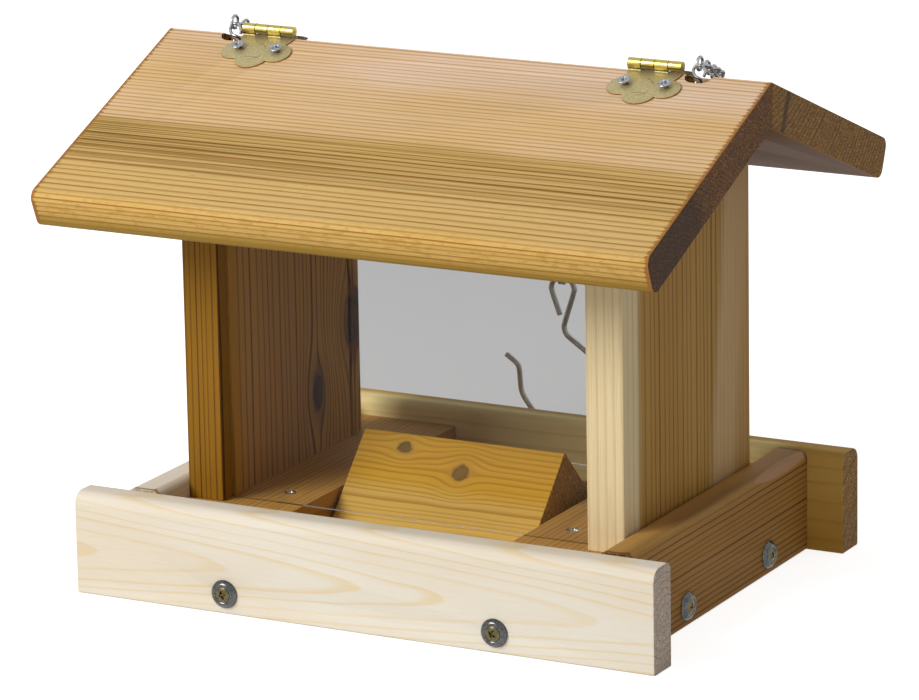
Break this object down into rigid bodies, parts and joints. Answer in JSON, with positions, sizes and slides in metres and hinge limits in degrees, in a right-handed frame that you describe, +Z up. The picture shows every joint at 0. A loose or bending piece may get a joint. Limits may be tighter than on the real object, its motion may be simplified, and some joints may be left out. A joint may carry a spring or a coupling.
{
  "type": "hopper bird feeder",
  "caption": "Hopper bird feeder of cedar boards: a railed seed tray, gable walls holding clear panes, a pitched roof with a hinged front lid, and a jack chain with a wire hook.",
  "frame": {"origin": "on the tray's underside, under the middle of the ridge", "axes": "+X along the ridge, to the right as seen from the lid; +Y from the lid to the fixed roof board; +Z up"},
  "size_m": [0.358, 0.3016, 0.2937],
  "materials": {
    "cedar_roof": "planed, unfinished",
    "cedar_pale": "planed sapwood, unfinished",
    "cedar_brown": "planed heartwood, unfinished",
    "clear_pane": "clear sheet",
    "brass": "plated, satin leaves and bright barrels",
    "zinc_steel": "zinc plated"
  },
  "bodies": {
    "feeder": {"back_roof_board": "cedar_roof", "front_rail": "cedar_pale", "back_rail": "cedar_pale", "left_side_rail": "cedar_pale", "seed_ramp": "cedar_pale", "right_side_rail": "cedar_brown", "left_wall": "cedar_brown", "right_wall": "cedar_brown", "left_floor_board": "cedar_brown", "right_floor_board": "cedar_brown", "front_bottom_board": "cedar_brown", "back_bottom_board": "cedar_brown", "front_pane": "clear_pane", "back_pane": "clear_pane", "left_hinge_fixed_leaf": "brass", "left_hinge_pin": "brass", "right_hinge_fixed_leaf": "brass", "right_hinge_pin": "brass", "fixed_hinge_screws": "brass", "rail_screws": "zinc_steel", "cup_washers": "zinc_steel", "floor_screws": "zinc_steel", "wall_screws": "zinc_steel", "ramp_screws": "zinc_steel", "roof_screws": "zinc_steel", "chain_anchor_screws": "zinc_steel", "left_anchor_links": "zinc_steel", "right_anchor_links": "zinc_steel"},
    "lid": {"front_roof_lid": "cedar_roof", "left_hinge_lid_leaf": "brass", "right_hinge_lid_leaf": "brass", "lid_hinge_screws": "brass"},
    "chain_on_roof": {"left_chain_on_roof": "zinc_steel", "right_chain_on_roof": "zinc_steel"},
    "chain_drop": {"left_chain_drop": "zinc_steel", "right_chain_drop": "zinc_steel"},
    "hook": {"hanging_hook": "zinc_steel"}
  },
  "joints": [
    {"name": "lid_hinge", "type": "hinge", "parent": "feeder", "child": "lid", "pos_m": [0, 0, 0.28683], "axis": [-1, 0, 0], "range_deg": [0, 90]},
    {"name": "chain_lift", "type": "hinge", "parent": "feeder", "child": "chain_on_roof", "pos_m": [0, 0, 0.28937], "axis": [1, 0, 0], "range_deg": [0, 112]},
    {"name": "chain_fold", "type": "hinge", "parent": "chain_on_roof", "child": "chain_drop", "pos_m": [0, 0.15113, 0.22662], "axis": [1, 0, 0], "range_deg": [0, 67]},
    {"name": "hook_swing", "type": "hinge", "parent": "chain_drop", "child": "hook", "pos_m": [-0.0196, 0.15113, 0.12512], "axis": [1, 0, 0], "range_deg": [-10, 60]}
  ]
}
